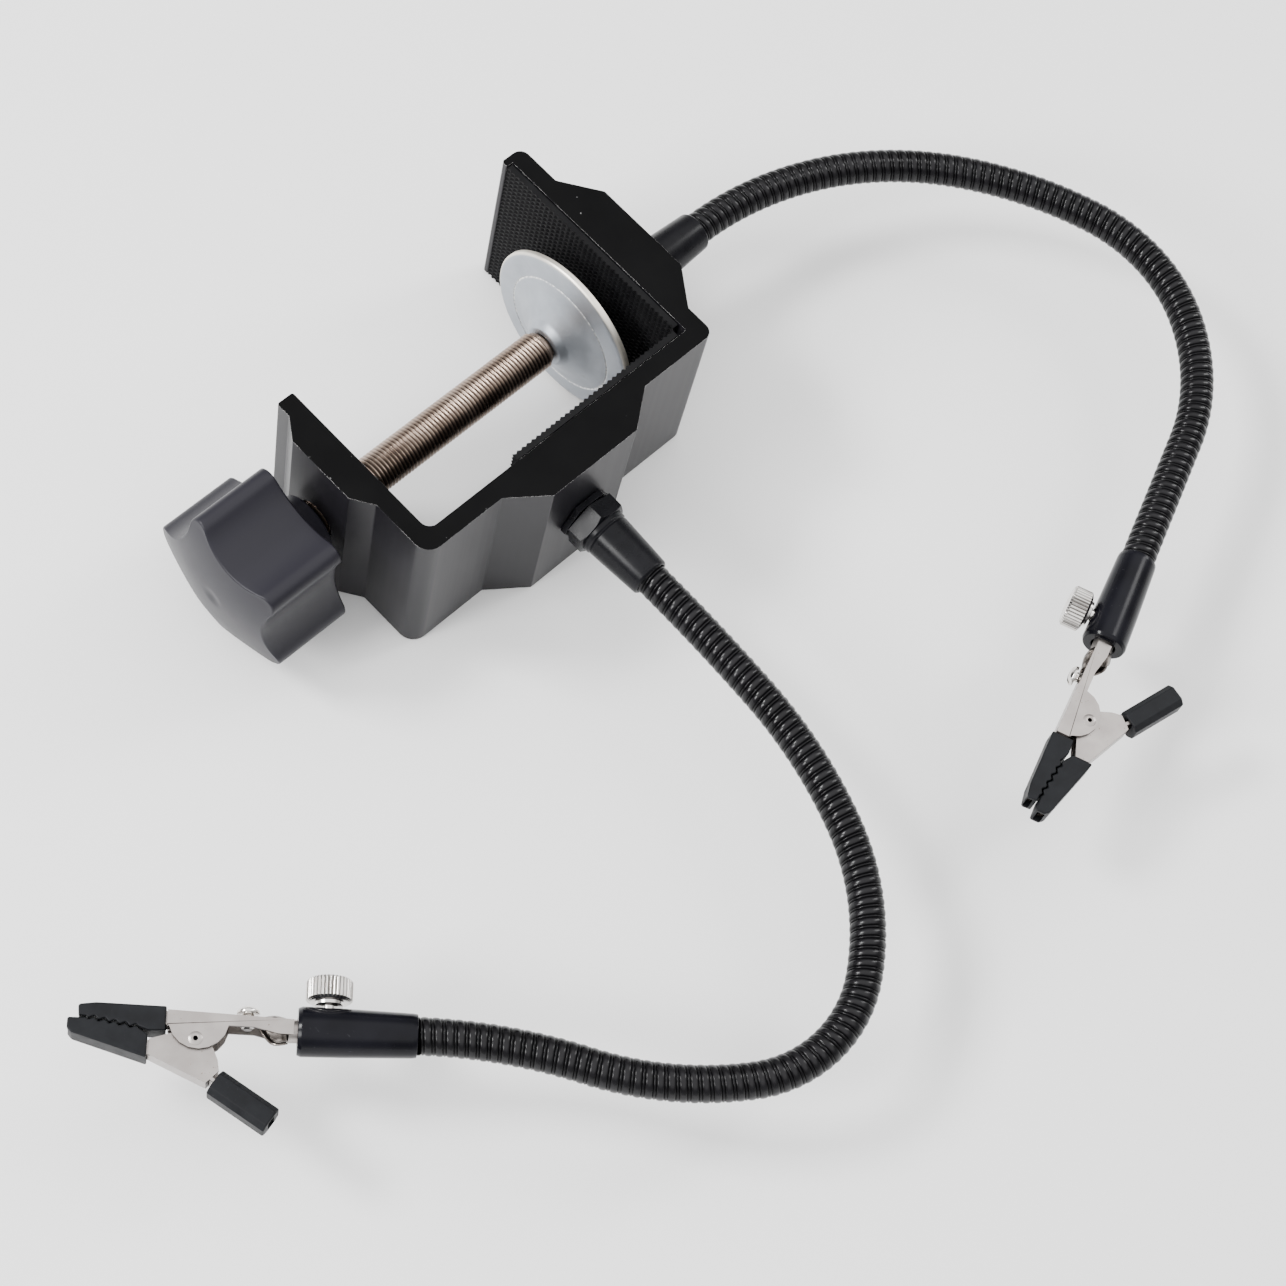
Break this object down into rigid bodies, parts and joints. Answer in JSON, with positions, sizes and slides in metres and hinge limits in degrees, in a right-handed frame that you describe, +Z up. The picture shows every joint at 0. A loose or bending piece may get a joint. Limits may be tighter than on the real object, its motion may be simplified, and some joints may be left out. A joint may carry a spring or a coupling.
{
  "type": "helping hands clamp",
  "caption": "Screw clamp for a bench edge with bendable gooseneck arms that each end in a swivelling alligator clip, for holding small work while soldering",
  "frame": {"origin": "on the frame's lower end face, at the middle of the spine wall's length and thickness", "axes": "+X along the spine from the screw's arm to the fixed jaw, +Y from the spine to the jaw's tip, +Z up along the extrusion, away from the end face that the part lies on"},
  "size_m": [0.3313, 0.205, 0.047],
  "materials": {
    "frame_black": "satin",
    "pad_rubber": "matte",
    "disc_zinc": "satin",
    "screw_steel": "satin",
    "knob_plastic": "satin",
    "fitting_black": "gloss",
    "hose_black": "satin",
    "sleeve_black": "gloss",
    "bright_nickel": "polished",
    "clip_steel": "satin",
    "boot_vinyl": "satin"
  },
  "bodies": {
    "frame": {"clamp_frame": "frame_black", "jaw_pad": "pad_rubber", "spine_pad": "pad_rubber", "arm_a_lock_nut": "fitting_black", "arm_a_base_fitting": "fitting_black", "arm_a_hose_1": "hose_black", "arm_b_lock_nut": "fitting_black", "arm_b_base_fitting": "fitting_black", "arm_b_hose_1": "hose_black"},
    "disc": {"pressure_disc": "disc_zinc"},
    "screw": {"clamp_screw": "screw_steel", "knob": "knob_plastic"},
    "arm_a_link_2": {"arm_a_hose_2": "hose_black"},
    "arm_a_link_3": {"arm_a_hose_3": "hose_black"},
    "arm_a_link_4": {"arm_a_hose_4": "hose_black"},
    "arm_a_link_5": {"arm_a_hose_5": "hose_black"},
    "arm_a_link_6": {"arm_a_hose_6": "hose_black", "arm_a_end_sleeve": "sleeve_black"},
    "arm_a_thumb": {"arm_a_thumbscrew": "bright_nickel"},
    "arm_a_clip": {"arm_a_clip_upper_jaw": "clip_steel", "arm_a_clip_upper_boot": "boot_vinyl", "arm_a_clip_rivet": "bright_nickel", "arm_a_clip_binding_screw": "bright_nickel", "arm_a_clip_spring": "bright_nickel"},
    "arm_a_clip_lower": {"arm_a_clip_lower_jaw": "clip_steel", "arm_a_clip_lower_boot": "boot_vinyl", "arm_a_clip_grip": "boot_vinyl"},
    "arm_b_link_2": {"arm_b_hose_2": "hose_black"},
    "arm_b_link_3": {"arm_b_hose_3": "hose_black"},
    "arm_b_link_4": {"arm_b_hose_4": "hose_black"},
    "arm_b_link_5": {"arm_b_hose_5": "hose_black"},
    "arm_b_link_6": {"arm_b_hose_6": "hose_black", "arm_b_end_sleeve": "sleeve_black"},
    "arm_b_thumb": {"arm_b_thumbscrew": "bright_nickel"},
    "arm_b_clip": {"arm_b_clip_upper_jaw": "clip_steel", "arm_b_clip_upper_boot": "boot_vinyl", "arm_b_clip_rivet": "bright_nickel", "arm_b_clip_binding_screw": "bright_nickel", "arm_b_clip_spring": "bright_nickel"},
    "arm_b_clip_lower": {"arm_b_clip_lower_jaw": "clip_steel", "arm_b_clip_lower_boot": "boot_vinyl", "arm_b_clip_grip": "boot_vinyl"}
  },
  "joints": [
    {"name": "screw_travel", "type": "slide", "parent": "frame", "child": "disc", "axis": [1, 0, 0], "range_m": [-0.063, 0.0015]},
    {"name": "screw_turn", "type": "hinge", "parent": "disc", "child": "screw", "pos_m": [0, 0.0287, 0.0235], "axis": [1, 0, 0], "range_deg": [-22690, 550]},
    {"name": "arm_a_bend_1", "type": "hinge", "parent": "frame", "child": "arm_a_link_2", "pos_m": [-0.00127, -0.06907, 0.0235], "axis": [0, 0, 1], "range_deg": [-25, 25]},
    {"name": "arm_a_bend_2", "type": "hinge", "parent": "arm_a_link_2", "child": "arm_a_link_3", "pos_m": [-0.00945, -0.10449, 0.0235], "axis": [-0.9272, 0.3746, 0], "range_deg": [-25, 25]},
    {"name": "arm_a_bend_3", "type": "hinge", "parent": "arm_a_link_3", "child": "arm_a_link_4", "pos_m": [-0.03209, -0.13244, 0.0235], "axis": [0, 0, 1], "range_deg": [-25, 25]},
    {"name": "arm_a_bend_4", "type": "hinge", "parent": "arm_a_link_4", "child": "arm_a_link_5", "pos_m": [-0.06648, -0.13244, 0.0235], "axis": [-0.5592, -0.829, 0], "range_deg": [-25, 25]},
    {"name": "arm_a_bend_5", "type": "hinge", "parent": "arm_a_link_5", "child": "arm_a_link_6", "pos_m": [-0.09116, -0.10597, 0.0235], "axis": [0, 0, 1], "range_deg": [-25, 25]},
    {"name": "arm_a_thumbscrew_turn", "type": "hinge", "parent": "arm_a_link_6", "child": "arm_a_thumb", "pos_m": [-0.12535, -0.06202, 0.0235], "axis": [0.6947, 0.7193, 0], "range_deg": [0, 360]},
    {"name": "arm_a_clip_swivel", "type": "hinge", "parent": "arm_a_link_6", "child": "arm_a_clip", "pos_m": [-0.11356, -0.07731, 0.0235], "axis": [-0.7193, 0.6947, 0], "range_deg": [-90, 90]},
    {"name": "arm_a_clip_jaw", "type": "hinge", "parent": "arm_a_clip", "child": "arm_a_clip_lower", "pos_m": [-0.14923, -0.04731, 0.0235], "axis": [0, 0, 1], "range_deg": [0, 22], "stiffness_Nm_per_rad": 0.03, "springref_deg": -45.84},
    {"name": "arm_b_bend_1", "type": "hinge", "parent": "frame", "child": "arm_b_link_2", "pos_m": [0.11074, 0.02117, 0.0235], "axis": [0, 0, 1], "range_deg": [-8, 25]},
    {"name": "arm_b_bend_2", "type": "hinge", "parent": "arm_b_link_2", "child": "arm_b_link_3", "pos_m": [0.13964, -0.00061, 0.0235], "axis": [-0.766, -0.6428, 0], "range_deg": [-25, 25]},
    {"name": "arm_b_bend_3", "type": "hinge", "parent": "arm_b_link_3", "child": "arm_b_link_4", "pos_m": [0.15752, -0.0322, 0.0235], "axis": [0, 0, 1], "range_deg": [-12, 25]},
    {"name": "arm_b_bend_4", "type": "hinge", "parent": "arm_b_link_4", "child": "arm_b_link_5", "pos_m": [0.15412, -0.06744, 0.0235], "axis": [0.866, -0.5, 0], "range_deg": [-25, 25]},
    {"name": "arm_b_bend_5", "type": "hinge", "parent": "arm_b_link_5", "child": "arm_b_link_6", "pos_m": [0.12708, -0.09095, 0.0235], "axis": [0, 0, 1], "range_deg": [-25, 25]},
    {"name": "arm_b_thumbscrew_turn", "type": "hinge", "parent": "arm_b_link_6", "child": "arm_b_thumb", "pos_m": [0.07448, -0.10918, 0.0235], "axis": [-0.3746, 0.9272, 0], "range_deg": [0, 360]},
    {"name": "arm_b_clip_swivel", "type": "hinge", "parent": "arm_b_link_6", "child": "arm_b_clip", "pos_m": [0.09324, -0.10462, 0.0235], "axis": [-0.9272, -0.3746, 0], "range_deg": [-90, 90]},
    {"name": "arm_b_clip_jaw", "type": "hinge", "parent": "arm_b_clip", "child": "arm_b_clip_lower", "pos_m": [0.05132, -0.12501, 0.0235], "axis": [0, 0, 1], "range_deg": [0, 22], "stiffness_Nm_per_rad": 0.03, "springref_deg": -45.84}
  ],
  "couplings": [
    {"joint": "screw_turn", "follows": "screw_travel", "rad_per_m": 6283.2}
  ]
}
